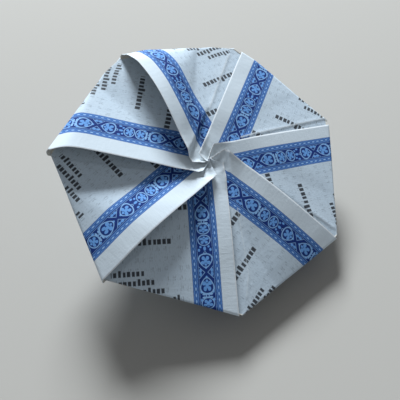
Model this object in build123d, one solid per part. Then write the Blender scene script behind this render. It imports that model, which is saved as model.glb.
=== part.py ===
from build123d import *
import math
import os

# A spinning top folded from seven alike printed sheets.
# Each sheet is folded once at the rim into an upper flap and a lower flap.
# Its leading side wraps over the trailing side of the next sheet, all the way round,
# so the seven sheets hold one another with no glue.
# The top is built upright with its rim in the XY plane, then laid down as it rests:
# on one lower panel, with the front of the rim low.

# Driving dimensions, in millimetres and degrees
sheet_count = 7
corner_radius = 60.0        # axis to a corner of the rim
cap_height = 5.4            # rim plane to the crown, a very shallow pyramid
tip_depth = 31.0            # rim plane to the tip
lean = 21.0                 # slope of the panels next to the tip, and so of the rim at rest
knee_reach = 26.0           # axis to the crease across each lower flap
paper = 0.2                 # thickness of one sheet
slip = 0.05                 # clearance between one sheet and the next

# Outline of the flaps, seen along the axis
corner_overshoot = 1.5      # how far a leading corner stands past the rim corner
upper_edge_offset = 6.8     # axis to the line of an upper leading edge
knuckle_angle = 75.0        # turn from a leading corner to the end of its edge
upper_tab_angle = 6.0       # how far an upper flap reaches under the sheet before it
lower_tab_angle = 8.0       # the same for a lower flap

# Swirl at the crown
swirl_radius = 4.6          # corner radius of the pit that the folded-in ends line
swirl_depth = 2.2           # crown to the bottom of the pit
swirl_eye = 0.6             # radius left open at the bottom of the pit
tip_ring = 1.6              # inside this radius the lower flaps no longer overlap
tip_eye = 0.3               # radius left open at the tip

# How far the free corner of each upper flap stands up from the rim plane.
# The fold is closed at the trailing corner and opens towards the leading one.
corner_lift = [0.9, 0.9, 0.9, 0.9, 0.9, 1.6, 0.9]
fold_facets = 5             # flats that make up the rounding of that fold

# Two neighbouring flaps have sprung up past a bend from the rim to the end of the edge.
# Their free edges arch: distance along the edge from its corner, and rise at that place.
sprung_rise = {
    3: [(0.0, 4.4), (4.0, 6.4), (9.0, 7.9), (17.0, 8.8), (30.0, 7.8), (44.0, 4.4)],
    4: [(0.0, 3.6), (4.0, 5.8), (8.0, 6.6), (20.0, 5.7), (34.0, 4.0), (48.0, 2.0)],
}
bend_start = -8.0           # where that bend meets the rim, from the middle of the side

# Worked out from the sizes above
sector = 360.0 / sheet_count
half_sector = sector / 2
apothem = corner_radius * math.cos(math.radians(half_sector))
half_side = corner_radius * math.sin(math.radians(half_sector))
cap_slope = math.degrees(math.atan2(cap_height, apothem))
knee_depth = tip_depth - knee_reach * math.tan(math.radians(lean))
outer_slope = math.degrees(math.atan2(knee_depth, apothem - knee_reach))
pitch = paper + slip
seam_height = -3 * pitch
reach = 2 * corner_radius


def compass(azimuth, radius=1.0, height=0.0):
    """The point at an azimuth and a radius from the axis."""
    turn = math.radians(azimuth)
    return Vector(radius * math.cos(turn), radius * math.sin(turn), height)


def sloped(azimuth, slope, up):
    """Outward direction of a panel that faces an azimuth and slopes away from level."""
    tilt = math.radians(slope)
    return compass(azimuth) * math.sin(tilt) + Vector(0, 0, up * math.cos(tilt))


def face_plane(point, normal, drop):
    """The plane of a panel, moved into the top by drop."""
    return Plane(origin=point - normal * drop, z_dir=normal)


def cap_plane(azimuth, drop):
    return face_plane(Vector(0, 0, cap_height), sloped(azimuth, cap_slope, 1), drop)


def outer_plane(azimuth, drop):
    return face_plane(compass(azimuth, apothem), sloped(azimuth, outer_slope, -1), drop)


def inner_plane(azimuth, drop):
    return face_plane(Vector(0, 0, -tip_depth), sloped(azimuth, lean, -1), drop)


def cut_away(body, plane):
    """What lies behind a plane."""
    return split(body, bisect_by=plane, keep=Keep.BOTTOM)


def height_on(plane, point):
    """Height of a plane over a point seen along the axis."""
    normal = plane.z_dir
    away = plane.origin - point
    return (normal.X * away.X + normal.Y * away.Y) / normal.Z + plane.origin.Z


def through(first, second, third):
    """The plane through three points that run anticlockwise as seen from above."""
    return Plane(origin=first, z_dir=(second - first).cross(third - first).normalized())


def upper_plane(lift):
    """Top side of an upper flap: through its trailing corner and the crown."""
    trailing = compass(-half_sector, corner_radius)
    leading = compass(half_sector, corner_radius, lift)
    return through(trailing, leading, Vector(0, 0, cap_height))


def folded_wedge(upper, drop):
    """The space between a flap's upper plane and its lower flap, moved in by drop.

    The fold at the rim rounds a cone with its point where the upper plane meets the rim.
    The cone touches both flaps, and the fold is made of flats that touch the cone.
    """
    along = Vector(0, 1, 0)
    over = upper.z_dir
    under = sloped(0, outer_slope, -1)
    middle = compass(0, apothem)
    point = middle + along * (over.dot(upper.origin - middle) / over.dot(along))
    opening = math.atan2(-along.dot(over), 1 - under.dot(over))
    axis = along * math.cos(opening) - under * math.sin(opening)
    turn = (over + axis * math.sin(opening)).get_signed_angle(under + axis * math.sin(opening), axis)
    body = Box(reach, reach, reach)
    for step in range(fold_facets + 2):
        outward = over.rotate(Axis((0, 0, 0), axis), turn * step / (fold_facets + 1))
        body = cut_away(body, face_plane(point, outward, drop))
    return cut_away(body, inner_plane(0, drop))


def flat_wall(upper):
    """The paper of one sheet with flat flaps, before its outline is cut.

    Past the trailing corner the sheet lies inside the one before it, a pitch further in.
    """
    spaces = []
    for drop in (0, paper):
        body = folded_wedge(upper, drop)
        body = cut_away(body, cap_plane(-sector, pitch + drop))
        body = cut_away(body, outer_plane(-sector, pitch + drop))
        body = cut_away(body, inner_plane(-sector, pitch + drop))
        spaces.append(body)
    return spaces[0] - spaces[1]


def arched_planes(upper, rises):
    """Upper planes of a sprung flap, from the rim to the end of its arched free edge.

    They all pass through the start of the bend, so the flap curves like part of a cone.
    """
    start = Vector(apothem, bend_start)
    corner = Vector(apothem, half_side + corner_overshoot)
    end = edge_end()
    along_edge = (end - corner).normalized()
    edge = [corner + along_edge * distance for distance, rise in rises] + [end]
    heights = [rise for distance, rise in rises] + [0]
    start.Z = height_on(upper, start)
    for place, rise in zip(edge, heights):
        place.Z = height_on(upper, place) + rise
    return [through(start, first, second) for first, second in zip(edge, edge[1:])]


def arched_wedge(arch, drop):
    """The space between a sprung flap and its lower flap, moved in by drop."""
    body = folded_wedge(arch[0], drop)
    for plane in arch[1:]:
        body = cut_away(body, face_plane(plane.origin, plane.z_dir, drop))
    return body


def bent_wall(upper, arch):
    """The paper of a sheet whose free side has sprung up past a straight bend."""
    last = arch[-1]
    bend = upper.z_dir.cross(last.z_dir).normalized()
    if bend.X < 0:
        bend = bend * -1
    halfway = Plane(origin=last.origin, z_dir=bend.cross(upper.z_dir + last.z_dir).normalized())
    trailing = flat_wall(upper)
    leading = arched_wedge(arch, 0) - arched_wedge(arch, paper)
    return split(trailing, bisect_by=halfway, keep=Keep.TOP) + cut_away(leading, halfway)


def edge_end():
    """Where an upper leading edge ends beside the axis, seen along the axis."""
    corner = Vector(apothem, half_side + corner_overshoot)
    tangent_angle = math.degrees(math.acos(upper_edge_offset / corner.length))
    corner_azimuth = math.degrees(math.atan2(corner.Y, corner.X))
    turn_left = corner_azimuth + tangent_angle - half_sector - knuckle_angle
    return compass(half_sector + knuckle_angle, upper_edge_offset / math.cos(math.radians(turn_left)))


def flap_outline(edge, tab_angle):
    """Outline of a flap seen along the axis, with the rim side left long.

    The leading edge runs straight from past the rim corner to the first point of edge.
    """
    corner = Vector(apothem, half_side + corner_overshoot)
    outside = corner + (corner - edge[0]).normalized() * (corner_radius / 3)
    tab = compass(-half_sector - tab_angle, 1.5 * corner_radius)
    return [Vector(0, 0), tab, outside, *edge]


def prism(points, bottom, top):
    """A straight prism over an outline, from one height to another."""
    face = make_face(Polyline(*points, close=True))
    return Pos(0, 0, bottom) * extrude(face, amount=top - bottom, dir=(0, 0, 1))


def ring_prism(first_azimuth, radius, bottom, top):
    """A prism over the ring of flap ends, with as many corners as there are sheets."""
    corners = [compass(first_azimuth + index * sector, radius) for index in range(sheet_count)]
    return prism(corners, bottom, top)


def folded_end(upper):
    """The end of an upper flap, folded down into the pit at the crown."""
    last = half_sector + knuckle_angle
    corners = []
    for azimuth in (last - sector, last):
        flat = compass(azimuth, swirl_radius)
        corners.append(Vector(flat.X, flat.Y, height_on(upper, flat)))
    bottom = Vector(0, 0, cap_height - swirl_depth)
    side = (corners[1] - corners[0]).normalized()
    first = corners[0] + side * slip
    second = corners[1] - side * slip
    share = swirl_eye / swirl_radius
    face = make_face(Polyline(
        first,
        second,
        bottom + (second - bottom) * share,
        bottom + (first - bottom) * share,
        close=True,
    ))
    down = (second - bottom).cross(first - bottom).normalized()
    if down.Z > 0:
        down = down * -1
    return extrude(face, amount=paper, dir=down)


def folded_sheet(index):
    """One sheet with its middle facing +X, as folded and held in the top."""
    upper = upper_plane(corner_lift[index])
    if index in sprung_rise:
        wall = bent_wall(upper, arched_planes(upper, sprung_rise[index]))
    else:
        wall = flat_wall(upper)
    high = cap_height + corner_radius / 2
    low = -tip_depth - 1

    above = wall & prism(flap_outline([edge_end()], upper_tab_angle), seam_height, high)
    above = above - ring_prism(half_sector + knuckle_angle, swirl_radius, seam_height, high)
    above = above + folded_end(upper)

    # Below, the leading edge meets the ridge at the crease and follows it to the tip
    at_crease = compass(half_sector, knee_reach / math.cos(math.radians(half_sector)))
    below = wall & prism(flap_outline([at_crease], lower_tab_angle), low, seam_height)
    own_end = prism(
        [
            compass(-half_sector, tip_eye),
            compass(-half_sector, 2 * tip_ring),
            compass(half_sector, 2 * tip_ring),
            compass(half_sector, tip_eye),
        ],
        low,
        seam_height,
    )
    below = below - (ring_prism(half_sector, tip_ring, low, seam_height) - own_end)
    return above + below


def laid_down(shape):
    """The first sheet is at the front, and the top leans until its lower panel is level."""
    return Rot(lean, 0, 0) * shape


sheets = []
for index in range(sheet_count):
    azimuth = -90 + index * sector
    sheets.append(laid_down(Rot(0, 0, azimuth) * folded_sheet(index)))

box = Compound(children=[sheet.solid() for sheet in sheets]).bounding_box()
ground = Pos(-box.center().X, -box.center().Y, -box.min.Z)

os.makedirs("parts", exist_ok=True)
for index, sheet in enumerate(sheets):
    name = f"folded_sheet_{index + 1}"
    placed = ground * sheet.solid()
    export_step(placed, f"parts/{name}.step")
    print(name, "volume", round(placed.volume, 1), "faces", len(placed.faces()))
print("size", [round(value, 2) for value in box.size], "rim centre moves by", ground.position)
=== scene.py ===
# %% [markdown]
# # A spinning top folded from seven printed sheets
#
# The real object is seven alike slips of printed paper. Each is folded once at the rim,
# so that one half makes a panel of the shallow cap and the other half a panel of the
# deep cone below. Every sheet laps over the next one, all the way round, and that
# alone holds the top together.
#
# The packed model gives the places and sizes. This script makes each sheet again as
# paper: a flat slip, cut to its outline, then folded, bowed and pressed in its layer.

# %% Load the fixed model
import math
import bpy
import bmesh
from mathutils import Euler, Matrix, Vector, noise


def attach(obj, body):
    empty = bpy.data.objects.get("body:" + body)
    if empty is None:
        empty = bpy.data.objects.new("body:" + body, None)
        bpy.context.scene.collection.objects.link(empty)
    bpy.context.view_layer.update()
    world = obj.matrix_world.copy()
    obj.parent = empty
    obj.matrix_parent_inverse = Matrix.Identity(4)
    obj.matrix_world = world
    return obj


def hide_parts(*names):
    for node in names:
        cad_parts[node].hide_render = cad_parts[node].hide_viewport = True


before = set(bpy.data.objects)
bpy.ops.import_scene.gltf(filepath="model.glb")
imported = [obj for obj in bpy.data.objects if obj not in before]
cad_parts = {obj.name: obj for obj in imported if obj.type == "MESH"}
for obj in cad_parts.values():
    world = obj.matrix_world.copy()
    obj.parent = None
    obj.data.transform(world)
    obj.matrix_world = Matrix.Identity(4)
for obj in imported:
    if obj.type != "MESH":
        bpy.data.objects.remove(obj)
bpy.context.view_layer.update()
print("pieces in the model:", sorted(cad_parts))

# %% [markdown]
# ## The sizes that the sheets share
#
# All lengths are in metres, written as millimetres times MM. The top is shaped upright,
# with its rim level and its axis on Z, and is laid down at the end, as the model lies.
# A panel of each kind is described once, for a sheet whose rim side faces +X.
#
# The cap is a very flat pyramid. Below the rim each sheet has a steep outer panel and,
# past a crease, an inner one. The inner panels slope just as much as the top leans, so
# the top rests flat on one of them.

# %% Sizes of the top
MM = 0.001
SHEET_COUNT = 7
CORNER_RADIUS = 60.0 * MM       # axis to a corner of the rim
CAP_HEIGHT = 5.4 * MM           # rim to the crown
TIP_DEPTH = 31.0 * MM           # rim to the tip
KNEE_REACH = 26.0 * MM          # axis to the crease across each lower panel
LEAN = math.radians(21.0)       # the top leans this much when it lies down
PAPER = 0.2 * MM                # thickness of a sheet
PITCH = 0.25 * MM               # one sheet and the gap to the next

SECTOR = 2 * math.pi / SHEET_COUNT
HALF_SECTOR = SECTOR / 2
APOTHEM = CORNER_RADIUS * math.cos(HALF_SECTOR)
HALF_SIDE = CORNER_RADIUS * math.sin(HALF_SECTOR)
CAP_SLOPE = math.atan2(CAP_HEIGHT, APOTHEM)
KNEE_DEPTH = TIP_DEPTH - KNEE_REACH * math.tan(LEAN)
OUTER_SLOPE = math.atan2(KNEE_DEPTH, APOTHEM - KNEE_REACH)
print(f"rim side {2 * HALF_SIDE / MM:.1f} mm")
print(f"outer panels slope {math.degrees(OUTER_SLOPE):.1f} degrees")

# %% [markdown]
# ## The outline of one flat sheet
#
# Paper keeps its lengths when it is folded, so the flat outline comes from the folded
# top: the rim side, the slant height of the cap, and the two slant heights below. The
# leading edge is the free one. It starts just past a corner of the rim, runs beside the
# axis and ends a little beyond it. The trailing side and the tip are tucked away.

# %% Sizes of one sheet, flat
CORNER_OVERSHOOT = 1.5 * MM     # a leading corner stands this far past the rim corner
EDGE_OFFSET = 6.8 * MM          # axis to the line of a leading edge, seen along the axis
KNUCKLE_TURN = math.radians(75.0)   # from a leading corner round to the end of its edge
TAB_TURN = math.radians(6.0)    # how far a sheet reaches under the one before it
CENTRE_OVERLAP = 1.1 * MM       # the flaps close the middle of the swirl by this much

flap_length = APOTHEM / math.cos(CAP_SLOPE)
outer_length = (APOTHEM - KNEE_REACH) / math.cos(OUTER_SLOPE)
inner_length = KNEE_REACH / math.cos(LEAN)


def compass(turn, radius):
    """A point seen along the axis: turned from +X, at a radius."""
    return Vector((radius * math.cos(turn), radius * math.sin(turn)))


def edge_end():
    """Where a leading edge ends beside the axis, seen along the axis."""
    corner = Vector((APOTHEM, HALF_SIDE + CORNER_OVERSHOOT))
    foot_turn = math.atan2(corner.y, corner.x) + math.acos(EDGE_OFFSET / corner.length)
    turn = HALF_SECTOR + KNUCKLE_TURN
    return compass(turn, EDGE_OFFSET / math.cos(foot_turn - turn))


# %% Outline of one sheet
# On the flat sheet X runs along the rim crease and Y across it, up the cap.
edge_stop = edge_end()
corner_flat = Vector((HALF_SIDE + CORNER_OVERSHOOT, 0.0))
end_flat = Vector((edge_stop.y, flap_length - edge_stop.x / math.cos(CAP_SLOPE)))
crown_flat = Vector((-CENTRE_OVERLAP / 2, flap_length + CENTRE_OVERLAP))
tip_flat = Vector((0.0, -outer_length - inner_length))
tab = math.tan(HALF_SECTOR + TAB_TURN)
hidden_side = [
    Vector((-APOTHEM * tab, 0.0)),
    Vector((-KNEE_REACH * tab, -outer_length)),
    tip_flat,
    Vector((KNEE_REACH * math.tan(HALF_SECTOR), -outer_length)),
]
outline = [corner_flat, end_flat, crown_flat] + hidden_side
xs = [point.x for point in outline]
ys = [point.y for point in outline]
flat_width = max(xs) - min(xs)
flat_length = max(ys) - min(ys)
print(f"flat sheet {flat_width / MM:.0f} by {flat_length / MM:.0f} mm")

# %% [markdown]
# ## How each sheet sits
#
# Folded paper is never all alike. Three flaps lie almost closed. The other four stand up
# between the rim and the swirl, each by its own amount, and one of them arches high. The
# slips were cut and set by hand too: some lie a little back along the rim, are folded a
# little out of square, or lost part of their bare margin. Three end in a tip that is
# bent round at the swirl, and five have a cracked crease across their print.
#
# So every sheet is one row of plain numbers over the same plain sheet, which is easier to
# fit and to read than seven shapes.

# %% How far a free edge stands up
# Each pair is a place along the edge, from the rim, and the height there, in millimetres.
CLOSED = [(0, 0.0), (15, 0.5), (30, 0.9), (45, 0.7), (59, 0.25), (85, 0.0)]
RAISED = [(0, 0.2), (10, 1.6), (28, 2.9), (45, 2.6), (59, 1.6), (90, 0.0)]
HALF_OPEN = [(0, 0.2), (6, 2.2), (14, 4.4), (25, 6.0), (36, 5.4), (47, 3.4), (59, 1.0), (90, 0.0)]
SPRUNG_OPEN = [(0, 2.0), (4, 5.4), (8, 6.6), (20, 5.7), (34, 4.0), (48, 2.2), (59, 0.8), (90, 0.0)]
ARCHED_HIGH = [(0, 0.8), (3, 3.6), (6, 6.0), (14, 9.3), (30, 10.3), (46, 7.0), (59, 3.0), (90, 0.0)]
print("a closed flap rises", max(height for place, height in CLOSED), "mm")

# %% What differs from sheet to sheet
# Lengths in these rows are in millimetres. Creases are lines in the print: along the free
# edge from its corner at the rim, and in from that edge.
PLAIN = {
    "arch": CLOSED,
    "lift": 0.9,                # how far the corner of the flap stands off
    "slide": 0.0,               # how far the slip sits along the rim, towards its free edge
    "skew": 0.0,                # how far out of square it was folded
    "cut": (0.0, 0.0),          # what was lost of its margin, at the rim and at the swirl
    "reach": 0.0,               # how far its free edge runs on into the swirl
    "tips": [],                 # corners of an end that is bent round, seen from the axis
    "ahead": 0.0,               # how far its print is moved towards the rim
    "creases": [],
    "crease_mark": 0.4,             # how sharp its creases are, and how strong their pale line of fibres and painted highlight
}
sheets = [
    {
        **PLAIN,
        "name": "folded_sheet_1",
        "arch": RAISED,
        "slide": -2.6,
        "skew": 0.09,
        "cut": (0.0, 1.5),
        "reach": -0.4,
        "ahead": 3.0,
        "creases": [[(42, 16), (34, 25), (25, 35), (21, 43)]],
    },
    {
        **PLAIN,
        "name": "folded_sheet_2",
        "slide": -1.6,
        "skew": 0.065,
        "cut": (1.9, 2.5),
        "reach": -2.6,
        "ahead": 4.0,
        "creases": [[(27, 37), (19, 46)]],
    },
    {
        **PLAIN,
        "name": "folded_sheet_3",
        "slide": -3.9,
        "skew": 0.07,
        "cut": (0.8, 2.2),
        "ahead": 3.3,
        "creases": [[(18, 48.7), (40.7, 21), (45, 16)]],
        "crease_mark": 1.0,
    },
    {
        **PLAIN,
        "name": "folded_sheet_4",
        "arch": ARCHED_HIGH,
        "cut": (1.4, 0.0),
        "creases": [[(21, 45), (41, 20.5)]],
        "crease_mark": 0.9,
    },
    {
        **PLAIN,
        "name": "folded_sheet_5",
        "arch": SPRUNG_OPEN,
        "tips": [(6.9, -0.5), (4.1, 2.9)],
        "creases": [[(22.6, 43.7), (28.7, 34.7)]],
    },
    {
        **PLAIN,
        "name": "folded_sheet_6",
        "arch": HALF_OPEN,
        "lift": 1.6,
        "tips": [(8.1, -2.5), (6.7, 1.1), (4.9, 2.8)],
        "ahead": -1.6,
    },
    {
        **PLAIN,
        "name": "folded_sheet_7",
        "slide": -0.7,
        "skew": 0.042,
        "cut": (1.7, 0.0),
        "tips": [(6.6, -3.8), (3.6, 2.0), (1.7, 2.9)],
    },
]
for number, sheet in enumerate(sheets):
    sheet["number"] = number
    print(sheet["name"], "free edge rises", max(rise for place, rise in sheet["arch"]), "mm")

# %% [markdown]
# ## Folding a flat sheet
#
# A cloth simulation would find some fold, but not this one. So the fold is worked out:
# every point of the flat sheet is carried round the rim crease, whose radius opens from
# nothing at the trailing corner to its full size at the leading one, and then along the
# cap. The lower half turns down at the rim and again at its crease.
#
# Two helpers come first: a soft step, and a smooth curve through a table of numbers.


# %% A soft step and a smooth curve
def smooth(value):
    """A soft step from 0 to 1."""
    value = min(max(value, 0.0), 1.0)
    return value * value * (3 - 2 * value)


def eased(table, at):
    """A smooth curve through a table of places and values, held past its ends."""
    if at <= table[0][0]:
        return table[0][1]
    if at >= table[-1][0]:
        return table[-1][1]
    last = len(table) - 1
    number = max(index for index in range(last) if table[index][0] <= at)
    slopes = []
    for index in (number, number + 1):
        low = table[max(index - 1, 0)]
        high = table[min(index + 1, last)]
        slopes.append((high[1] - low[1]) / (high[0] - low[0]))
    start, stop = table[number], table[number + 1]
    width = stop[0] - start[0]
    share = (at - start[0]) / width
    rest = 1 - share
    bend = width * share * rest * (slopes[0] * rest - slopes[1] * share)
    return start[1] * (1 + 2 * share) * rest * rest + stop[1] * share * share * (3 - 2 * share) + bend


print(f"the high arch stands {eased(ARCHED_HIGH, 20.0):.1f} mm up, 20 mm from the rim")

# %% [markdown]
# ## How a flap bends open
#
# Paper bends but doesn't stretch. A flap whose free edge stands up is bent like part of a
# cone, whose point is where the bend meets the rim. Every straight line from that point
# stays straight, and its far end is drawn back a little as it tilts up.

# %% The bend of a flap
BEND_START = -8.0 * MM          # where the bend meets the rim, from the middle of the side
LEAST_SHARE = 0.001             # closer to the point of the cone, nothing is bent
DRAWN_FROM_RIM = 12.0 * MM      # the drawing back sets in over this distance from the rim

edge_start = Vector((APOTHEM, corner_flat.x))
edge_way = (edge_stop - edge_start).normalized()
edge_side = Vector((-edge_way.y, edge_way.x))
bend_start = Vector((APOTHEM, BEND_START))
bend_to_edge = edge_side.dot(edge_start - bend_start)


def spring_at(x, y, sheet):
    """How far a flap stands above its closed place, and how much that draws it back."""
    ray = Vector((x, y)) - bend_start
    share = edge_side.dot(ray) / bend_to_edge
    if share < LEAST_SHARE:
        return 0.0, 0.0
    at_edge = bend_start + ray / share
    rise = eased(sheet["arch"], (at_edge - edge_start).dot(edge_way) / MM) * MM * share
    tilt = math.atan2(rise, ray.length)
    return rise, (1 - math.cos(tilt)) * smooth((APOTHEM - x) / DRAWN_FROM_RIM)


print(f"point of the cone to the free edge: {abs(bend_to_edge) / MM:.1f} mm")

# %% [markdown]
# ## How the layers lie
#
# A flap lies under the flap of the sheet before it, and is free to rise only past the
# free edge of that one. Near the middle all seven cross. There they stack like a spiral
# stair, dip into a shallow pit and are crumpled a little. The noise in Blender's
# mathutils gives the crumples and the soft unevenness, and is the same in each run.

# %% Height of an upper flap
DISH_RADIUS = 25.0 * MM         # the cap sags a little towards the swirl
DISH_DEPTH = 2.0 * MM
SWIRL_RADIUS = 6.6 * MM         # the ends of the flaps dip into a pit inside this radius
SWIRL_DEPTH = 1.1 * MM
CRUMPLE = 0.45 * MM             # and are crumpled there
CRUMPLE_LENGTH = 4.0 * MM
CRUMPLE_REACH = 1.6             # the crumples end at this many swirl radii
CRUMPLE_SEED = 7.7
STAIR_FULL = 9.0 * MM           # inside this radius the sheets stack like a spiral stair
STAIR_END = 22.0 * MM           # and outside this one they lie in their own planes
STEEP_FULL = 8.0 * MM           # the last of the stair is steeper, so the ends stand apart
STEEP_END = 15.0 * MM
STEEP_RISE = 0.65 * MM
EDGE_GAP = 0.5 * MM             # a flap is free to rise this far past the edge that covers it
FREE_RISE = 2                   # and this steeply
WAVE = 0.16 * MM                # soft unevenness of a flap
WAVE_LENGTH = 13.0 * MM
WAVE_SEED = 3.1
WAVE_FROM_RIM = 8.0 * MM        # it sets in over this distance from the rim
WAVE_FROM_AXIS = 20.0 * MM      # and from the axis

back_one_sheet = Matrix.Rotation(-SECTOR, 2)
edge_before = back_one_sheet @ edge_start
side_before = back_one_sheet @ edge_side
if side_before.y < 0:
    side_before = -side_before


def cap_height_at(x, y, turned=0.0):
    """Height of the cap plane of the sheet that is turned back from this one."""
    facing = x * math.cos(turned) - y * math.sin(turned)
    return CAP_HEIGHT * (1 - facing / APOTHEM)


def flap_height(x, y, sheet):
    """Height of an upper flap over a point seen along the axis."""
    radius = math.hypot(x, y)
    share = (y + HALF_SIDE) / (2 * HALF_SIDE)
    tilt = sheet["lift"] * MM * max(share, 0.0) * max(x, 0.0) / APOTHEM
    place = Vector((x / WAVE_LENGTH, y / WAVE_LENGTH, WAVE_SEED * sheet["number"]))
    uneven = WAVE * (noise.noise(place) + 0.5)
    uneven = uneven * smooth((APOTHEM - x) / WAVE_FROM_RIM) * smooth(radius / WAVE_FROM_AXIS)
    height = cap_height_at(x, y) + tilt + spring_at(x, y, sheet)[0] + max(uneven, 0.0)

    stair = smooth((STAIR_END - radius) / (STAIR_END - STAIR_FULL))
    steep = smooth((STEEP_END - radius) / (STEEP_END - STEEP_FULL))
    step = (PITCH * stair + STEEP_RISE * steep) * math.atan2(y, x) / SECTOR
    uncovered = side_before.dot(Vector((x, y)) - edge_before) - EDGE_GAP
    limit = cap_height_at(x, y, SECTOR) + PITCH * (stair - 1) + FREE_RISE * max(uncovered, 0.0)
    height = min(height, limit) + step - DISH_DEPTH * smooth(1 - radius / DISH_RADIUS)

    place = Vector((x / CRUMPLE_LENGTH, y / CRUMPLE_LENGTH, CRUMPLE_SEED * sheet["number"]))
    crumple = CRUMPLE * (0.5 - 2 * abs(noise.noise(place)))
    crumple = crumple * smooth(CRUMPLE_REACH - radius / SWIRL_RADIUS)
    return height + crumple - SWIRL_DEPTH * smooth(1 - radius / SWIRL_RADIUS)


print(f"first flap at the middle of its rim side: {flap_height(APOTHEM, 0.0, sheets[0]) / MM:.2f} mm")

# %% [markdown]
# ## Tucking the hidden half in
#
# The trailing side of every sheet slips under the sheet before it. Its points are pressed
# inwards until they lie one paper thickness and a small gap behind each panel of that
# sheet. Where two panels meet, pressing behind one can push a point out past the other,
# so it is done a few times over.

# %% Press points under the sheet before
TUCKING_ROUNDS = 6
UP = Vector((0, 0, 1))
before = Vector((math.cos(SECTOR), -math.sin(SECTOR), 0.0))
# The outward direction of each panel of the sheet before this one, and a point of it
PANELS_BEFORE = (
    (before * math.sin(OUTER_SLOPE) - UP * math.cos(OUTER_SLOPE), before * APOTHEM),
    (before * math.sin(LEAN) - UP * math.cos(LEAN), UP * -TIP_DEPTH),
    (before * math.sin(CAP_SLOPE) + UP * math.cos(CAP_SLOPE), UP * CAP_HEIGHT),
)


def tucked(point):
    """Press a point inside the panels of the sheet before this one."""
    for _ in range(TUCKING_ROUNDS):
        for direction, origin in PANELS_BEFORE:
            proud = (point - origin).dot(direction) + PITCH
            if proud > 0:
                point = point - direction * proud
    return point


# %% Carry a point of the flat sheet to its place
LEAST_BEND = 0.02 * MM          # height of the sharpest bend at the rim
NEARBY = 1.0 * MM               # the slope at the rim is measured over this distance


def lower_place(along, across):
    """The place of a point below the rim: down the outer panel, then along the inner one."""
    outer = min(-across, outer_length)
    inner = -across - outer
    x = APOTHEM - outer * math.cos(OUTER_SLOPE) - inner * math.cos(LEAN)
    z = -outer * math.sin(OUTER_SLOPE) - inner * math.sin(LEAN)
    return Vector((x, along, z))


def upper_place(along, across, sheet):
    """The place of a point above the rim: round the open bend, then along the cap."""
    at_rim = flap_height(APOTHEM, along, sheet)
    lift = max(at_rim, LEAST_BEND)
    slope = math.atan2(flap_height(APOTHEM - NEARBY, along, sheet) - at_rim, NEARBY)
    radius = lift * math.cos(slope) / (1 + math.cos(OUTER_SLOPE + slope))
    turn = math.pi - OUTER_SLOPE - slope
    centre_x = APOTHEM - radius * math.sin(OUTER_SLOPE)
    if across < radius * turn:
        angle = OUTER_SLOPE - math.pi / 2 + across / radius
        z = radius * (math.cos(OUTER_SLOPE) + math.sin(angle))
        return Vector((centre_x + radius * math.cos(angle), along, z))
    x = centre_x + radius * math.sin(slope) - (across - radius * turn) * math.cos(CAP_SLOPE)
    drawn_back = spring_at(x, along, sheet)[1]
    point = Vector((x, along, flap_height(x, along, sheet)))
    point.x += (bend_start.x - x) * drawn_back
    point.y += (bend_start.y - along) * drawn_back
    return point


def folded(flat, sheet):
    """The place of a point of the flat sheet, upright and facing +X."""
    along, across = flat
    if across <= 0:
        return tucked(lower_place(along, across))
    point = upper_place(along, across, sheet)
    return tucked(point) if along < -HALF_SIDE else point


tip = folded(tip_flat, sheets[0])
print(f"the tip of a sheet comes {-tip.z / MM:.1f} mm below the rim")

# %% [markdown]
# ## One sheet as a mesh
#
# A grid is the right start for paper, because it bends along any line. The grid is cut
# to the outline with straight cuts, and gets an edge along each fold, so the folds come
# out sharp. It gets its print coordinates while it is still flat, and is folded last.

# %% Cut a flat slip
GRID_STEP = 0.6 * MM            # fine enough for the crumples and the ridges of the creases
CUT_SNAP = 0.001 * MM           # a cut passes through a corner this close to it
flat_middle = Vector(((max(xs) + min(xs)) / 2, (max(ys) + min(ys)) / 2, 0))
along_edge = (end_flat - corner_flat).normalized()
across_edge = Vector((-along_edge.y, along_edge.x))
if across_edge.x > 0:
    across_edge = -across_edge


def free_edge_of(sheet):
    """The corners of a sheet's free edge on the flat slip, from the rim to the middle."""
    at_rim, at_swirl = (Vector((cut * MM, 0.0)) for cut in sheet["cut"])
    straight_end = end_flat - at_swirl + along_edge * sheet["reach"] * MM
    moved = Vector((sheet["slide"] * MM + sheet["skew"] * flap_length, 0.0))
    tips = [Vector((0.0, flap_length)) + Vector(tip) * MM for tip in sheet["tips"]]
    return [corner_flat - at_rim] + (tips or [straight_end]) + [crown_flat - moved]


def divide(bm, at, direction, clear=False):
    """Add a straight line of edges across a mesh, and clear what lies outside it."""
    bmesh.ops.bisect_plane(
        bm,
        geom=bm.verts[:] + bm.edges[:] + bm.faces[:],
        dist=CUT_SNAP,
        plane_co=at,
        plane_no=direction,
        clear_outer=clear,
    )


def flat_slip(free_edge):
    """A flat grid with an edge along each fold, cut to its outline."""
    bm = bmesh.new()
    columns = round(flat_width / GRID_STEP)
    rows = round(flat_length / GRID_STEP)
    # A grid of size 0.5 is one metre wide, so it can be spread by its real measures.
    bmesh.ops.create_grid(bm, x_segments=columns, y_segments=rows, size=0.5)
    spread = Matrix.Translation(flat_middle) @ Matrix.Diagonal((flat_width, flat_length, 1, 1))
    bmesh.ops.transform(bm, matrix=spread, verts=bm.verts)
    for fold in (0.0, -outer_length):
        divide(bm, (0, fold, 0), (0, 1, 0))
    corners = free_edge + hidden_side
    for start, stop in zip(corners, corners[1:] + corners[:1]):
        side = stop - start
        divide(bm, (start.x, start.y, 0), (side.y, -side.x, 0), clear=True)
    return bm


plain_slip = flat_slip([corner_flat, end_flat, crown_flat])
print("faces in a plain slip:", len(plain_slip.faces))
plain_slip.free()

# %% Where a point lies in the print
FAR_OFF = 5.0                   # millimetres; nothing shows as far as this from a line


def print_of(flat):
    """The place of a point of the flat sheet in the print, in millimetres."""
    from_corner = flat - corner_flat
    return Vector((from_corner.dot(along_edge), from_corner.dot(across_edge))) / MM


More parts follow.
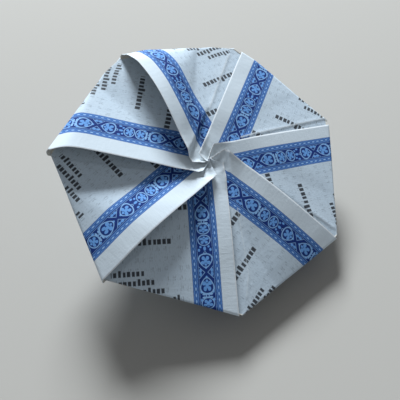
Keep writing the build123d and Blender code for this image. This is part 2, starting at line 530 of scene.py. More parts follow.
def distance_to(lines, place):
    """Distance in millimetres from a place of the print to the nearest of some lines."""
    nearest = FAR_OFF
    for line in lines:
        for start, stop in zip(line, line[1:]):
            start, stop = Vector(start), Vector(stop)
            way = stop - start
            share = min(max((place - start).dot(way) / way.length_squared, 0.0), 1.0)
            nearest = min(nearest, (place - start - way * share).length)
    return nearest


def mark_print(bm, sheet):
    """Store the places in the print on a flat slip, and shade it smooth up to its edges."""
    print_map = bm.loops.layers.uv.new("print")
    ahead = Vector((sheet["ahead"], 0.0))
    for face in bm.faces:
        face.smooth = True
        for loop in face.loops:
            loop[print_map].uv = print_of(loop.vert.co.xy) + ahead
    for edge in bm.edges:
        edge.smooth = not edge.is_boundary


print("in the print, the crown lies at", [round(value, 1) for value in print_of(crown_flat)], "mm")

# %% [markdown]
# ## Handling marks in the shape
#
# Paper that was folded by hand keeps small marks: a raised ridge along each crease, ends
# that curl up a little, and two corners of the rim that are knocked in. They are made in
# the mesh and not as bump, because they change the outline and catch the light from the
# side. The distance to the creases and to the free edge is stored as well: the material
# paints pale lines along them, bare fibres and a painted highlight, and rounds the edge.

# %% Dents and the place in the top
DENTS = ((2, 1.4 * MM), (3, 1.9 * MM))     # which corner of the rim, and how deep
DENT_RADIUS = 13.0 * MM
# The model is centred by its box, so the middle of the rim lies a little to one side.
RIM_CENTRE = Vector((-0.205 * MM, -2.643 * MM, TIP_DEPTH * math.cos(LEAN)))
lying = Matrix.Rotation(LEAN, 4, "X")


def dented(point, index):
    """Two corners of the rim are knocked in; a dent goes through every layer there."""
    for corner, depth in DENTS:
        at = compass((corner - index) * SECTOR + HALF_SECTOR, CORNER_RADIUS).to_3d()
        near = smooth(1 - (point - at).length / DENT_RADIUS)
        point = point - at.normalized() * depth * near
    return point


def place_in_top(index):
    """The turn and place of one sheet in the top as it lies."""
    turned = Matrix.Rotation(-math.pi / 2 + index * SECTOR, 4, "Z")
    return Matrix.Translation(RIM_CENTRE) @ lying @ turned


middle_height = (place_in_top(0) @ Vector((0, 0, CAP_HEIGHT))).z
print(f"the crown lies {middle_height / MM:.1f} mm above the floor")

# %% Fold a slip
CURL_RISE = 0.4 * MM            # the ends of the flaps curl up a little
CURL_WIDTH = 1.5                # over this many millimetres of the print
CURL_END = 15.0 * MM            # inside this radius
CREASE_RIDGE = 0.32 * MM        # height of a sharp cracked crease
CREASE_WIDTH = 0.9              # and its half width, in the millimetres of the print
CREASE_FADE = 0.35              # how much narrower the pale line of fibres and painted highlight is along a soft one
LEAST_HEIGHT = PAPER / 8        # no corner of the paper goes below this


def fold_slip(bm, index, sheet, free_edge):
    """Fold a flat slip, put it in its place, and store how near creases and edge are."""
    crease_map = bm.verts.layers.float.new("crease")
    edge_map = bm.verts.layers.float.new("edge")
    printed_edge = [print_of(point) for point in free_edge]
    place = place_in_top(index)
    for vert in bm.verts:
        flat = vert.co.xy
        vert[edge_map] = distance_to([printed_edge], print_of(flat))
        flat.x += sheet["slide"] * MM + sheet["skew"] * max(flat.y, 0.0)
        vert[crease_map] = distance_to(sheet["creases"], print_of(flat))
        point = folded(flat, sheet)
        point.z += CREASE_RIDGE * sheet["crease_mark"] * max(1 - vert[crease_map] / CREASE_WIDTH, 0.0)
        vert[crease_map] += CREASE_FADE * (1 - sheet["crease_mark"])
        if flat.y > 0:
            curled = smooth((CURL_END - point.xy.length) / (CURL_END - STAIR_FULL))
            point.z += CURL_RISE * curled * smooth(1 - vert[edge_map] / CURL_WIDTH)
        vert.co = place @ dented(point, index)
        vert.co.z = max(vert.co.z, LEAST_HEIGHT)


# %% [markdown]
# ## Seven sheets of real thickness
#
# The folded mesh is the outer face of the paper. A Solidify modifier adds the inner face
# and the cut edge behind it, and gives each its own material slot: the printed face
# first, the bare back second and the cut edge third.

# %% Make the sheets
def make_sheet(index, sheet):
    """Cut, print and fold one sheet, and give it its thickness."""
    free_edge = free_edge_of(sheet)
    bm = flat_slip(free_edge)
    mark_print(bm, sheet)
    fold_slip(bm, index, sheet, free_edge)
    mesh = bpy.data.meshes.new(sheet["name"] + "_paper")
    bm.to_mesh(mesh)
    bm.free()
    piece = bpy.data.objects.new(sheet["name"] + "_paper", mesh)
    bpy.context.scene.collection.objects.link(piece)
    thickness = piece.modifiers.new("thickness", "SOLIDIFY")
    thickness.thickness = PAPER
    thickness.offset = -1.0
    thickness.material_offset = 1
    thickness.material_offset_rim = 2
    return piece


papers = [make_sheet(index, sheet) for index, sheet in enumerate(sheets)]
print("faces in one sheet:", len(papers[0].data.polygons))

# %% [markdown] ## The printed paper  All seven slips carry the same print, laid out from
# the leading edge: a bare margin, a blue border with a chain of ornaments between two
# narrow strips, and a pale field with rows of faint bars and a few rows of dark blocks.
# The print is drawn by a material from two numbers that were stored on the flat sheet:
# the distance along the leading edge and the distance in from it, both in millimetres.
# So it follows every fold. Such a drawing is a long sum of simple masks, each 1 on its
# shape and 0 off it.


# %% A small kit for drawing with numbers
class Drawing:
    """The nodes of one material, with sockets or plain numbers as inputs."""

    NARROWEST = 0.3             # a medallion never tapers below this share of its width

    def __init__(self, name):
        self.material = bpy.data.materials.new(name)
        self.material.use_nodes = True
        self.tree = self.material.node_tree
        self.shader = self.tree.nodes["Principled BSDF"]

    def link(self, value, socket):
        """Feed a socket from another one, or set it to a plain value."""
        if isinstance(value, bpy.types.NodeSocket):
            self.tree.links.new(value, socket)
        else:
            socket.default_value = value

    def calc(self, operation, *values):
        """One step of arithmetic."""
        node = self.tree.nodes.new("ShaderNodeMath")
        node.operation = operation
        for value, socket in zip(values, node.inputs):
            self.link(value, socket)
        return node.outputs[0]

    def minus(self, value, taken):
        """One value less another."""
        return self.calc("SUBTRACT", value, taken)

    def times(self, value, factor):
        """One value times another."""
        return self.calc("MULTIPLY", value, factor)

    def size_of(self, value):
        """The value without its sign."""
        return self.calc("ABSOLUTE", value)

    def step(self, value, low, high):
        """0 below low, 1 above high, and soft between."""
        node = self.tree.nodes.new("ShaderNodeMapRange")
        node.interpolation_type = "SMOOTHSTEP"
        self.link(value, node.inputs["Value"])
        node.inputs["From Min"].default_value = low
        node.inputs["From Max"].default_value = high
        return node.outputs["Result"]

    def between(self, value, low, high, soft):
        """1 from low to high, with soft edges."""
        rising = self.step(value, low - soft, low + soft)
        falling = self.step(value, high + soft, high - soft)
        return self.times(rising, falling)

    def line(self, value, middle, half_width, soft):
        """1 within half_width of middle."""
        return self.between(value, middle - half_width, middle + half_width, soft)

    def repeat(self, value, period, start=0.0):
        """The value from the start of its own period."""
        return self.calc("FLOORED_MODULO", self.minus(value, start), period)

    def length(self, x, y):
        """The length of the way that goes x one way and y the other."""
        return self.calc("SQRT", self.calc("ADD", self.times(x, x), self.times(y, y)))

    def ellipse(self, x, y, at_x, at_y, half_x, half_y):
        """1 on an ellipse, less inside it."""
        across = self.calc("DIVIDE", self.minus(x, at_x), half_x)
        up = self.calc("DIVIDE", self.minus(y, at_y), half_y)
        return self.length(across, up)

    def dot(self, x, y, shape, outside=1.15, inside=0.8):
        """1 inside an ellipse, and soft towards its outside."""
        return self.step(self.ellipse(x, y, *shape), outside, inside)

    def medallion(self, u, v, at, half_length, half_width, taper):
        """1 on the outline of a rounded shape that widens along u by its taper."""
        along = self.calc("DIVIDE", self.minus(u, at), half_length)
        wide = self.calc("MAXIMUM", self.calc("MULTIPLY_ADD", along, taper, 1.0), self.NARROWEST)
        across = self.calc("DIVIDE", self.calc("DIVIDE", v, half_width), wide)
        return self.length(along, across)

    def most(self, *masks):
        """The greatest of several masks."""
        result = masks[0]
        for mask in masks[1:]:
            result = self.calc("MAXIMUM", result, mask)
        return result

    def mix(self, share, under, over):
        """One colour laid over another."""
        # A Mix node has sockets for every kind of value; these three are for colours.
        node = self.tree.nodes.new("ShaderNodeMix")
        node.data_type = "RGBA"
        self.link(share, node.inputs[0])
        self.link(under, node.inputs[6])
        self.link(over, node.inputs[7])
        return node.outputs[2]

    def join(self, x, y):
        """Two numbers as one place for a texture."""
        node = self.tree.nodes.new("ShaderNodeCombineXYZ")
        self.link(x, node.inputs[0])
        self.link(y, node.inputs[1])
        return node.outputs[0]

    def noise(self, place, scale, detail, rough):
        """Soft chance values that change over the paper."""
        node = self.tree.nodes.new("ShaderNodeTexNoise")
        self.link(place, node.inputs["Vector"])
        node.inputs["Scale"].default_value = scale
        node.inputs["Detail"].default_value = detail
        node.inputs["Roughness"].default_value = rough
        return node.outputs["Fac"]

    def dice(self, first, second):
        """A fixed chance number for each pair of whole numbers."""
        node = self.tree.nodes.new("ShaderNodeTexWhiteNoise")
        node.noise_dimensions = "2D"
        self.link(self.join(first, second), node.inputs["Vector"])
        return node.outputs["Value"]

    def stored(self, name):
        """A number that was stored on the mesh."""
        node = self.tree.nodes.new("ShaderNodeAttribute")
        node.attribute_name = name
        return node.outputs["Fac"]

    def print_place(self):
        """The place in the print, in millimetres."""
        node = self.tree.nodes.new("ShaderNodeUVMap")
        node.uv_map = "print"
        return node.outputs["UV"]

    def split(self, place):
        """A place as its two numbers: along the leading edge, and in from it."""
        node = self.tree.nodes.new("ShaderNodeSeparateXYZ")
        self.link(place, node.inputs[0])
        return node.outputs[0], node.outputs[1]

    def finish(self, colour, roughness, specular, relief, depth):
        """Feed the shader: its colour, its dullness and its fine relief."""
        self.link(colour, self.shader.inputs["Base Color"])
        self.link(roughness, self.shader.inputs["Roughness"])
        self.shader.inputs["Specular IOR Level"].default_value = specular
        node = self.tree.nodes.new("ShaderNodeBump")
        node.inputs["Strength"].default_value = 1.0
        node.inputs["Distance"].default_value = depth
        self.link(relief, node.inputs["Height"])
        self.link(node.outputs["Normal"], self.shader.inputs["Normal"])


print("the kit:", ", ".join(name for name in vars(Drawing) if name[0] != "_"))

# %% Inks and papers
MARGIN_PAPER = (0.67, 0.76, 0.84, 1)
FIELD_PAPER = (0.58, 0.69, 0.80, 1)
NAVY = (0.004, 0.030, 0.19, 1)
MID_BLUE = (0.145, 0.36, 0.78, 1)
STRIP_BLUE = (0.042, 0.158, 0.49, 1)
PALE_BLUE = (0.27, 0.50, 0.85, 1)
DASH_BLUE = (0.33, 0.54, 0.86, 1)
FAINT_GREY = (0.33, 0.40, 0.47, 1)
BLACK_INK = (0.014, 0.016, 0.024, 1)
PALE_FIBRES_AND_HIGHLIGHT = (0.74, 0.82, 0.89, 1)     # bare fibres and a painted highlight along a crease, and pale clouds in the paper
EDGE_FIBRES_AND_HIGHLIGHT = (0.90, 0.94, 0.98, 1)  # bare fibres and a painted highlight along a cut edge
BACK_DARK = (0.66, 0.64, 0.58, 1)
BACK_PALE = (0.74, 0.72, 0.67, 1)

# %% Where the border lies
BORDER_FROM = 7.3               # millimetres in from the leading edge
BORDER_TO = 17.7
CORE_FROM = 9.4                 # the dark middle of the border
CORE_TO = 15.6
CORE_MIDDLE = (CORE_FROM + CORE_TO) / 2
STRIP_MIDDLE = (BORDER_TO + CORE_TO) / 2 - CORE_MIDDLE    # from the middle of the core
print(f"border {BORDER_TO - BORDER_FROM:.1f} mm wide, its core {CORE_TO - CORE_FROM:.1f} mm")

# %% [markdown]
# ## The chain of ornaments
#
# The core of the border carries a chain that repeats about every 27 mm: a small flower,
# an onion-shaped medallion, two crossing bands, a heart-shaped medallion, a few drops,
# and two round medallions. Every shape is an ellipse or a line, worked out from U, the
# place along one repeat, and V, the distance from the middle. The chain is the same on
# both sides of its middle, so V has no sign and half of it is drawn for free.

# %% Shapes of the chain, in millimetres
ORNAMENT_START = 9.7            # the first flower, along the edge from the rim corner
ORNAMENT_PERIOD = 27.4
CORE_LINE = 2.84                # a fine line along each side of the core
# Place along one repeat, half length, half width, how it widens, and the way its leaves point
MEDALLIONS = (
    (3.6, 3.0, 2.45, -0.34, -1),    # onion, pointed towards the swirl
    (12.7, 2.6, 2.45, 0.36, 1),     # heart, pointed towards the rim
    (20.3, 2.0, 2.35, 0.06, -1),
    (24.7, 2.05, 2.35, -0.06, 1),
)
# Place, side, half length and half width of each leaf, as shares of its medallion's
LEAVES = (
    (0.0, 0.0, 0.32, 0.24),
    (0.29, 0.44, 0.24, 0.31),
    (-0.36, 0.32, 0.27, 0.24),
    (0.56, 0.0, 0.18, 0.18),
)
CROSSING = 8.4                  # where the two bands cross
BAND_START = 0.55               # how far from the middle they pass there
BAND_SLANT = 0.95
BAND_REACH = (2.4, 2.1)         # and how far they run, from gone to full
# The ellipses below are a place, a side, a half length and a half width.
CROSSING_DROPS = ((0.7, 2.1, 0.75, 0.5), (1.7, 0.0, 0.5, 0.4))
FLOWER_PETAL = (0.62, 1.2, 0.4, 0.75)
FLOWER_DROP = (1.5, 2.2, 0.6, 0.4)
FLOWER_RING = (0.0, 0.0, 0.6, 0.55)
CHAIN_DROPS = ((17.2, 0.0, 0.85, 0.5), (16.7, 2.1, 0.6, 0.42), (17.9, 1.5, 0.45, 0.42))
CHAIN_RING = (15.5, 0.0, 0.5, 0.45)
# Where the lines of the rings run, in shares of their ellipses
MEDALLION_LINE = 0.96
FLOWER_LINE = 0.95
CHAIN_LINE = 1.0
# Pens: half the width of a line, and how soft its sides are
CORE_PEN = (0.06, 0.07)
MEDALLION_PEN = (0.075, 0.05)
BAND_PEN = (0.12, 0.1)
FLOWER_PEN = (0.3, 0.2)
CHAIN_PEN = (0.22, 0.15)
# Where a soft shape is gone and where it is full, in shares of its ellipse
LEAF_SIDE = (1.2, 0.85)
PETAL_SIDE = (1.15, 0.85)
print(len(MEDALLIONS), "medallions in each", ORNAMENT_PERIOD, "mm of the chain")


# %% Draw the chain
def draw_medallion(d, u, v, at, half_length, half_width, taper, way):
    """The ring of one medallion, and the leaves inside it."""
    ring = d.medallion(u, v, at, half_length, half_width, taper)
    leaves = []
    for leaf_at, leaf_side, leaf_long, leaf_wide in LEAVES:
        middle = at - way * leaf_at * half_length
        shape = (middle, leaf_side * half_width, leaf_long * half_length, leaf_wide * half_width)
        leaves.append(d.dot(u, v, shape, *LEAF_SIDE))
    return d.line(ring, MEDALLION_LINE, *MEDALLION_PEN), leaves


def draw_ornament(d, along, inward):
    """The chain of ornaments in the core of the border: its fine lines and its fills."""
    u = d.repeat(along, ORNAMENT_PERIOD, ORNAMENT_START)
    v = d.size_of(d.minus(inward, CORE_MIDDLE))
    half = ORNAMENT_PERIOD / 2
    flower = d.size_of(d.minus(d.repeat(along, ORNAMENT_PERIOD, ORNAMENT_START - half), half))
    crossing = d.size_of(d.minus(u, CROSSING))
    lines = [d.line(v, CORE_LINE, *CORE_PEN)]
    fills = []
    for medallion in MEDALLIONS:
        ring, leaves = draw_medallion(d, u, v, *medallion)
        lines.append(ring)
        fills.extend(leaves)
    slant = d.minus(v, d.times(crossing, BAND_SLANT))
    lines.append(d.times(d.line(slant, BAND_START, *BAND_PEN), d.step(crossing, *BAND_REACH)))
    fills.extend(d.dot(crossing, v, shape) for shape in CROSSING_DROPS)
    lines.append(d.dot(flower, v, FLOWER_PETAL, *PETAL_SIDE))
    fills.append(d.dot(flower, v, FLOWER_DROP, *PETAL_SIDE))
    lines.append(d.line(d.ellipse(flower, v, *FLOWER_RING), FLOWER_LINE, *FLOWER_PEN))
    fills.extend(d.dot(u, v, shape) for shape in CHAIN_DROPS)
    lines.append(d.line(d.ellipse(u, v, *CHAIN_RING), CHAIN_LINE, *CHAIN_PEN))
    return d.most(*lines), d.most(*fills)


# %% [markdown]
# ## The two strips beside the core
#
# Each narrow strip is a chain of pale links between two thin waves, a dark one and a
# pale one, with a dark line along both sides. A cosine makes the waves swing out round
# every link.

# %% Draw the strips
STRIP_PERIOD = 2.25             # one link of the chain
LINK = (0.0, 0.0, 0.62, 0.24)
SWING = 0.13                    # of the waves, either way
DARK_WAVE = 0.40                # from the middle of the strip
PALE_WAVE = 0.66
PALE_WAVE_SHARE = 0.55
STRIP_SIDE = 0.99
LINK_SIDE = (1.2, 0.7)          # where a link is gone and where it is full
DARK_PEN = (0.05, 0.09)         # half width and softness of each line
PALE_PEN = (0.04, 0.08)
SIDE_PEN = (0.07, 0.06)


def draw_strips(d, along, inward):
    """The strips' pale links and waves, and their dark waves and side lines."""
    across = d.size_of(d.minus(inward, CORE_MIDDLE))
    across = d.size_of(d.minus(across, STRIP_MIDDLE))
    u = d.minus(d.repeat(along, STRIP_PERIOD), STRIP_PERIOD / 2)
    link = d.dot(u, across, LINK, *LINK_SIDE)
    swing = d.calc("COSINE", d.times(u, 2 * math.pi / STRIP_PERIOD))
    dark = d.minus(across, d.calc("MULTIPLY_ADD", swing, SWING, DARK_WAVE))
    pale = d.minus(across, d.calc("MULTIPLY_ADD", swing, SWING, PALE_WAVE))
    dark = d.line(dark, 0.0, *DARK_PEN)
    pale = d.times(d.line(pale, 0.0, *PALE_PEN), PALE_WAVE_SHARE)
    sides = d.line(across, STRIP_SIDE, *SIDE_PEN)
    return d.most(link, pale), d.most(dark, sides)


print(f"{ORNAMENT_PERIOD / STRIP_PERIOD:.1f} links beside each repeat of the chain")

# %% [markdown]
# ## The marks in the field
#
# The field carries a few rows of dark blocks of uneven width and height, and all over it
# rows of small faint bars, with every other row moved by half a group. Both are plain
# shapes that only give the paper its tone. The uneven sizes come from a fixed chance
# number for each block.

# %% Rows of dark blocks
# Place along the edge, start and stop in from it, and size
BLOCK_ROWS = (
    (19.5, 34.8, 46.5, 1.0),
    (16.1, 31.3, 44.0, 1.0),
    (12.8, 27.8, 35.5, 1.0),
    (9.6, 22.5, 25.0, 0.9),
    (30.7, 24.6, 41.0, 1.1),
    (43.4, 17.9, 29.5, 1.2),
)
BLOCK_PITCH = 1.62              # millimetres from block to block
BLOCK_WIDTH = 0.58              # of the narrowest, as a share of the pitch
BLOCK_SPREAD = 0.24             # and how much wider the widest is
BLOCK_TOP = 0.80                # of a low block
TALL_BLOCK = 0.65               # how much higher a tall one is
TALL_CHANCE = (0.62, 0.64)      # chance numbers above these make a tall one
BLOCK_FOOT = (-1.1, -0.85)      # from gone to full
BLOCK_SIDE = 0.1                # how soft its sides are
BLOCK_HEAD = 0.15               # and its top
WIDTH_SEED = 0.5
HEIGHT_SEED = 20.5


def draw_block_rows(d, along, inward):
    """Rows of small plain dark blocks."""
    rows = []
    for number, (at, start, stop, size) in enumerate(BLOCK_ROWS):
        place = d.calc("DIVIDE", d.minus(inward, start), BLOCK_PITCH * size)
        count = d.calc("FLOOR", place)
        within = d.minus(place, count)
        chance = d.dice(count, number + WIDTH_SEED)
        wide = d.calc("MULTIPLY_ADD", chance, BLOCK_SPREAD, BLOCK_WIDTH)
        near_side = d.step(within, 0.0, BLOCK_SIDE)
        block = d.times(near_side, d.step(d.minus(within, wide), BLOCK_SIDE, 0.0))
        tall = d.step(d.dice(count, number + HEIGHT_SEED), *TALL_CHANCE)
        top = d.calc("MULTIPLY_ADD", tall, TALL_BLOCK * size, BLOCK_TOP * size)
        rise = d.minus(along, at)
        upper = d.step(d.minus(rise, top), BLOCK_HEAD, -BLOCK_HEAD)
        lower = d.step(rise, *(foot * size for foot in BLOCK_FOOT))
        mask = d.times(d.times(block, upper), lower)
        rows.append(d.times(mask, d.between(inward, start, stop, BLOCK_SIDE)))
    return d.most(*rows)


print("rows of blocks:", len(BLOCK_ROWS))

# %% Rows of faint bars
BAR_ROW = 3.75                  # millimetres from row to row
BAR_MIDDLE = 1.8                # of a row
BAR_HEIGHT = (0.85, 0.25)       # half the height of a bar, and how soft its ends are
BAR_GROUP = 10.4                # from group to group
GROUP_END = (7.6, 7.4)          # the rest of it is a gap, from gone to full
BAR_PAIR = 2.5                  # from pair to pair
PAIR_START = 0.1
FIRST_BAR = 0.5                 # places of the two bars in a pair
SECOND_BAR = 1.2
FIRST_PEN = (0.17, 0.2)         # half width and softness of each
SECOND_PEN = (0.15, 0.2)
SECOND_SHARE = 0.85             # the second bar is a little paler
SMUDGE = (1.3, 1.0, 0.5)        # scale, detail and roughness of what breaks the bars up
SMUDGE_RANGE = (0.38, 0.58)     # from gone to full


def draw_faint_rows(d, along, inward):
    """Rows of small grey bars in groups of three pairs."""
    row = d.calc("FLOOR", d.calc("DIVIDE", along, BAR_ROW))
    moved = d.calc("MULTIPLY_ADD", d.calc("FLOORED_MODULO", row, 2.0), BAR_GROUP / 2, inward)
    across = d.calc("FLOORED_MODULO", moved, BAR_GROUP)
    up = d.minus(d.repeat(along, BAR_ROW), BAR_MIDDLE)
    tall = d.times(d.line(up, 0.0, *BAR_HEIGHT), d.step(across, *GROUP_END))
    pairs = d.repeat(across, BAR_PAIR, PAIR_START)
    first = d.line(pairs, FIRST_BAR, *FIRST_PEN)
    second = d.times(d.line(pairs, SECOND_BAR, *SECOND_PEN), SECOND_SHARE)
    smudge = d.step(d.noise(d.join(along, inward), *SMUDGE), *SMUDGE_RANGE)
    return d.times(d.times(d.most(first, second), tall), smudge)


print("bars in a group:", 2 * round(GROUP_END[0] / BAR_PAIR))

# %% [markdown]
# ## The face of the paper
#
# The face is built up as a real print is: paper first, then the marks of the field, then
# the border on top. Pale lines come last, along the creases and along the free edge:
# bare fibres where the ink is lost, and painted highlight where they would catch the
# light. The relief has three sizes: a fine grain, short streaks of fibre and slow
# ripples. It falls off at the free edge, which then catches the light as a cut edge does.

# %% Textures of the paper
# Scale, detail and roughness of each, over the print in millimetres
CLOUDS = (0.12, 2.0, 0.5)
GRAIN = (5.0, 2.0, 0.6)
STREAKS = (2.0, 2.0, 0.6)
RIPPLES = (0.9, 3.0, 0.6)
STREAK_STRETCH = 0.35           # streaks are drawn out along the edge by one over this
RIPPLE_STRETCH = 0.3            # and ripples in from it
# What shows of them: from none to all, and how strong that is
CLOUD_RANGE = (0.35, 0.7)
CLOUD_SHARE = 0.12
STREAK_RANGE = (0.52, 0.70)
STREAK_SHARE = 0.36
THIN_INK_RANGE = (0.4, 0.7)     # where paper shows through the ink of the strips
THIN_INK_SHARE = 0.35
FAINT_INK = (0.5, 0.6)          # strength of the faint bars: by the streaks, and at least
BLACK_GRAIN = (-0.25, 1.05)     # and of the dark blocks: by the grain, and at most

# %% Pale lines of fibres and painted highlight, gloss and relief of the paper
BORDER_SOFT = 0.1               # how soft the sides of the border are, in millimetres
CORE_SOFT = 0.08
CREASE_HIGHLIGHT_GRAIN = 0.5               # how much the grain frays the pale line along a crease
CREASE_HIGHLIGHT_RANGE = (0.85, 0.45)      # its distance from none to full, in millimetres
CREASE_HIGHLIGHT_SHARE = 0.65              # how pale it is: bare fibres and painted highlight
EDGE_HIGHLIGHT_GRAIN = 0.3                # the same for the pale line along the free edge: bare fibres and painted highlight
EDGE_HIGHLIGHT_RANGE = (0.72, 0.34)
EDGE_HIGHLIGHT_SHARE = 0.85
DULLNESS = 0.84                 # of the paper
INK_GLOSS = -0.2                # the dark blocks are less dull by this much
SPECULAR = 0.3
RIPPLE_HEIGHT = 2.2             # against the grain
ROUNDED = (-0.5, 0.6)           # the free edge is rounded between these, in millimetres
ROUNDED_HEIGHT = 6.0
FACE_RELIEF = 0.045 * MM


# %% Printed face
def draw_ground(d, along, inward, place, grain, streaks):
    """Margin and field with their marks, and the mask of the dark blocks."""
    in_field = d.step(inward, BORDER_TO - BORDER_SOFT, BORDER_TO + BORDER_SOFT)
    ground = d.mix(in_field, MARGIN_PAPER, FIELD_PAPER)
    clouds = d.step(d.noise(place, *CLOUDS), *CLOUD_RANGE)
    ground = d.mix(d.times(clouds, CLOUD_SHARE), ground, PALE_FIBRES_AND_HIGHLIGHT)
    streaky = d.times(d.step(streaks, *STREAK_RANGE), STREAK_SHARE)
    ground = d.mix(d.times(streaky, in_field), ground, FAINT_GREY)
    faint = d.times(draw_faint_rows(d, along, inward), in_field)
    faint = d.times(faint, d.calc("MULTIPLY_ADD", streaks, *FAINT_INK))
    ground = d.mix(faint, ground, FAINT_GREY)
    blocks = d.times(draw_block_rows(d, along, inward), in_field)
    blocks = d.times(blocks, d.calc("MULTIPLY_ADD", grain, *BLACK_GRAIN))
    return d.mix(blocks, ground, BLACK_INK), blocks


def draw_border(d, along, inward, grain):
    """The blue border: two strips and the core between them."""
    links, waves = draw_strips(d, along, inward)
    thin_ink = d.times(d.step(grain, *THIN_INK_RANGE), THIN_INK_SHARE)
    strip = d.mix(thin_ink, STRIP_BLUE, PALE_BLUE)
    strip = d.mix(links, d.mix(waves, strip, NAVY), DASH_BLUE)
    lines, fills = draw_ornament(d, along, inward)
    core = d.mix(lines, d.mix(fills, NAVY, MID_BLUE), PALE_BLUE)
    return d.mix(d.between(inward, CORE_FROM, CORE_TO, CORE_SOFT), strip, core)


def printed_paper():
    """The printed face of a sheet."""
    d = Drawing("printed_paper")
    place = d.print_place()
    along, inward = d.split(place)
    grain = d.noise(place, *GRAIN)
    streaks = d.noise(d.join(d.times(along, STREAK_STRETCH), inward), *STREAKS)
    ripples = d.noise(d.join(along, d.times(inward, RIPPLE_STRETCH)), *RIPPLES)

    ground, blocks = draw_ground(d, along, inward, place, grain, streaks)
    border = draw_border(d, along, inward, grain)
    in_border = d.between(inward, BORDER_FROM, BORDER_TO, BORDER_SOFT)
    colour = d.mix(in_border, ground, border)
    # A pale line along each crease: bare fibres and a painted highlight.
    crease_mark = d.calc("MULTIPLY_ADD", grain, CREASE_HIGHLIGHT_GRAIN, d.stored("crease"))
    colour = d.mix(d.times(d.step(crease_mark, *CREASE_HIGHLIGHT_RANGE), CREASE_HIGHLIGHT_SHARE), colour, PALE_FIBRES_AND_HIGHLIGHT)
    # A pale line along the free edge: bare fibres and a painted highlight.
    edge_fibres_and_highlight = d.calc("MULTIPLY_ADD", grain, EDGE_HIGHLIGHT_GRAIN, d.stored("edge"))
    colour = d.mix(d.times(d.step(edge_fibres_and_highlight, *EDGE_HIGHLIGHT_RANGE), EDGE_HIGHLIGHT_SHARE), colour, EDGE_FIBRES_AND_HIGHLIGHT)

    dullness = d.calc("MULTIPLY_ADD", blocks, INK_GLOSS, DULLNESS)
    rounded = d.times(d.step(d.stored("edge"), *ROUNDED), ROUNDED_HEIGHT)
    relief = d.calc("ADD", grain, streaks)
    relief = d.calc("ADD", relief, d.calc("MULTIPLY_ADD", ripples, RIPPLE_HEIGHT, rounded))
    d.finish(colour, dullness, SPECULAR, relief, FACE_RELIEF)
    return d.material


face_paper = printed_paper()
print("nodes in the print:", len(face_paper.node_tree.nodes))

# %% [markdown]
# ## The back and the cut edge
#
# The back is plain warm paper, seen inside the flaps that stand open. The cut edge is
# only 0.2 mm wide. It is painted paler than the paper, as bare fibres and a painted
# highlight, so that it shows as a thin pale line.

# %% Bare back and cut edge
BARE_RELIEF = 0.02 * MM
BACK_CLOUDS = (0.25, 3.0, 0.6)  # scale, detail and roughness
BACK_GRAIN = (6.0, 2.0, 0.6)
BACK_DULLNESS = 0.88
BACK_SPECULAR = 0.25
FIBRES = (9.0, 2.0, 0.7)
EDGE_DULLNESS = 0.92
EDGE_SPECULAR = 0.5


def bare_paper():
    """The unprinted back of a sheet."""
    d = Drawing("bare_paper")
    place = d.print_place()
    colour = d.mix(d.noise(place, *BACK_CLOUDS), BACK_DARK, BACK_PALE)
    grain = d.noise(place, *BACK_GRAIN)
    d.finish(colour, BACK_DULLNESS, BACK_SPECULAR, grain, BARE_RELIEF)
    return d.material


def cut_edge():
    """The cut edge: bare fibres and a painted highlight, paler than the paper."""
    d = Drawing("cut_edge")
    fibres = d.noise(d.print_place(), *FIBRES)
    # paler than the paper: bare fibres and a painted highlight
    colour = d.mix(fibres, MARGIN_PAPER, EDGE_FIBRES_AND_HIGHLIGHT)
    d.finish(colour, EDGE_DULLNESS, EDGE_SPECULAR, fibres, BARE_RELIEF)
    return d.material


# %% Dress the sheets, hang them on the root and hide the model's pieces
back_paper = bare_paper()
edge_paper = cut_edge()
for sheet, piece in zip(sheets, papers):
    piece.data.materials.append(face_paper)
    piece.data.materials.append(back_paper)
    piece.data.materials.append(edge_paper)
    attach(piece, "root")
    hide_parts(sheet["name"])
print("sheets dressed:", len(papers))

# %% [markdown]
# ## Floor
#
# A plain pale floor, so wide that its end is never seen.

# %% Floor
FLOOR_SIZE = 4.0
FLOOR_DROP = 0.05 * MM          # just under the paper, so the two faces don't meet
FLOOR_COLOUR = (0.44, 0.425, 0.40, 1)
FLOOR_DULLNESS = 0.9
bm = bmesh.new()
bmesh.ops.create_grid(bm, x_segments=1, y_segments=1, size=FLOOR_SIZE / 2)
bmesh.ops.translate(bm, vec=(0, 0, -FLOOR_DROP), verts=bm.verts)
floor_mesh = bpy.data.meshes.new("floor")
bm.to_mesh(floor_mesh)
bm.free()
floor = bpy.data.objects.new("floor", floor_mesh)
bpy.context.scene.collection.objects.link(floor)
floor_paint = Drawing("floor")
floor_paint.shader.inputs["Base Color"].default_value = FLOOR_COLOUR
floor_paint.shader.inputs["Roughness"].default_value = FLOOR_DULLNESS
floor.data.materials.append(floor_paint.material)
print("floor", FLOOR_SIZE, "m wide")

# %% [markdown]
# ## Camera
#
# The camera looks down at the swirl from the low side of the rim. Its place is worked
# out from the point it aims at, because three angles and a distance are easier to fit
# than a place and a turn.

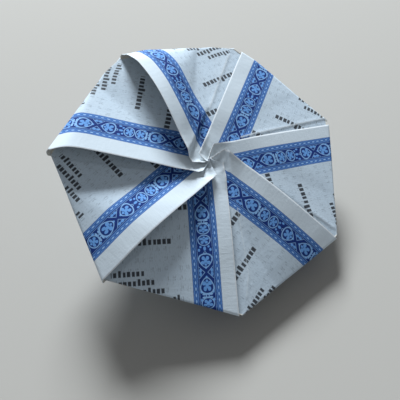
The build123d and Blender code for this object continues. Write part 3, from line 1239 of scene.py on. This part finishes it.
# %% Camera
LOOK_DOWN = math.radians(54.45)
HEADING = math.radians(37.28)   # from +Y towards +X
ROLL = math.radians(-2.98)
AIM = Vector((-11.21 * MM, -12.00 * MM, 25.35 * MM))
AIM_DISTANCE = 193.31 * MM
LENS = 45                       # in millimetres, as the camera's settings take it
FRAME_WIDTH = 36
NEAREST = 10 * MM
camera_data = bpy.data.cameras.new("camera")
camera_data.lens = LENS
camera_data.sensor_width = FRAME_WIDTH
camera_data.clip_start = NEAREST
camera = bpy.data.objects.new("camera", camera_data)
bpy.context.scene.collection.objects.link(camera)
level_view = Euler((math.pi / 2 - LOOK_DOWN, 0, -HEADING)).to_matrix().to_4x4()
turned = level_view @ Matrix.Rotation(ROLL, 4, "Z")
back = turned.to_3x3() @ Vector((0, 0, 1))
camera.matrix_world = Matrix.Translation(AIM + back * AIM_DISTANCE) @ turned
bpy.context.scene.camera = camera
print("camera at", [round(value / MM, 1) for value in camera.matrix_world.translation])

# %% [markdown]
# ## Light
#
# One wide disc of cool daylight from the far side, and a plain sky for the rest. The disc
# stands low, so the folds and lifted edges throw short soft shadows, and the sky fills
# those without washing them out.

# %% Light
LAMP_HEADING = math.radians(30.0)
LAMP_HEIGHT = math.radians(36.0)
LAMP_DISTANCE = 2.0
LAMP_SIZE = 0.72
LAMP_POWER = 70.0
LAMP_COLOUR = (0.90, 0.96, 1.0)
SKY_COLOUR = (0.93, 0.97, 1.0, 1)
SKY_STRENGTH = 0.24
lamp_data = bpy.data.lights.new("window", "AREA")
lamp_data.shape = "DISK"
lamp_data.size = LAMP_SIZE
lamp_data.energy = LAMP_POWER
lamp_data.color = LAMP_COLOUR
lamp = bpy.data.objects.new("window", lamp_data)
bpy.context.scene.collection.objects.link(lamp)
level = math.cos(LAMP_HEIGHT)
towards = Vector((
    math.sin(LAMP_HEADING) * level,
    math.cos(LAMP_HEADING) * level,
    math.sin(LAMP_HEIGHT),
))
lamp.location = towards * LAMP_DISTANCE
lamp.rotation_euler = towards.to_track_quat("Z", "Y").to_euler()

# %% Sky and picture
world = bpy.data.worlds.new("sky")
world.use_nodes = True
sky = world.node_tree.nodes["Background"]
sky.inputs["Color"].default_value = SKY_COLOUR
sky.inputs["Strength"].default_value = SKY_STRENGTH
bpy.context.scene.world = world
bpy.context.scene.view_settings.view_transform = "Standard"
print("sky strength", SKY_STRENGTH)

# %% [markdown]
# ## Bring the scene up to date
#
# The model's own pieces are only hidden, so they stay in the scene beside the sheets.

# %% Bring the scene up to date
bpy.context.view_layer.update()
